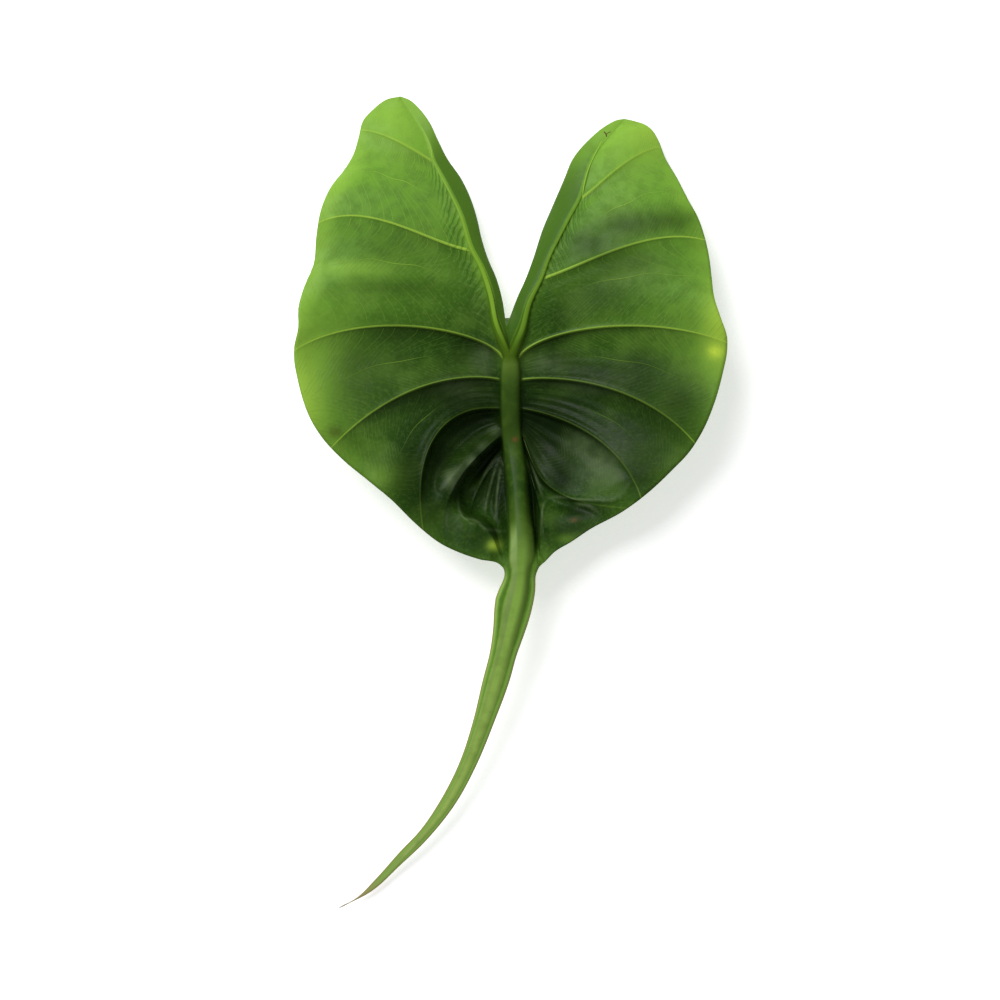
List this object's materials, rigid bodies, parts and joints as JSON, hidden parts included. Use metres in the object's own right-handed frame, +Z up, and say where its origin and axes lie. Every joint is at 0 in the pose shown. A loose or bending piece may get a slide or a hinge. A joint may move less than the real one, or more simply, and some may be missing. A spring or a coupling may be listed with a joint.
{
  "type": "alocasia stingray leaf",
  "caption": "Picked aroid leaf lying face up: two back lobes, a deep cup round the midrib at the front, waved margins, raised veins and a long curved tail.",
  "frame": {"origin": "on the surface that the leaf lies on, under the middle of its outline's box", "axes": "+X to the leaf's right seen from above with the tail towards the viewer, +Y back to the lobe tips, +Z up"},
  "size_m": [0.2004, 0.3795, 0.0319],
  "materials": {
    "leaf": null
  },
  "bodies": {
    "root": {"leaf": "leaf"}
  },
  "joints": []
}
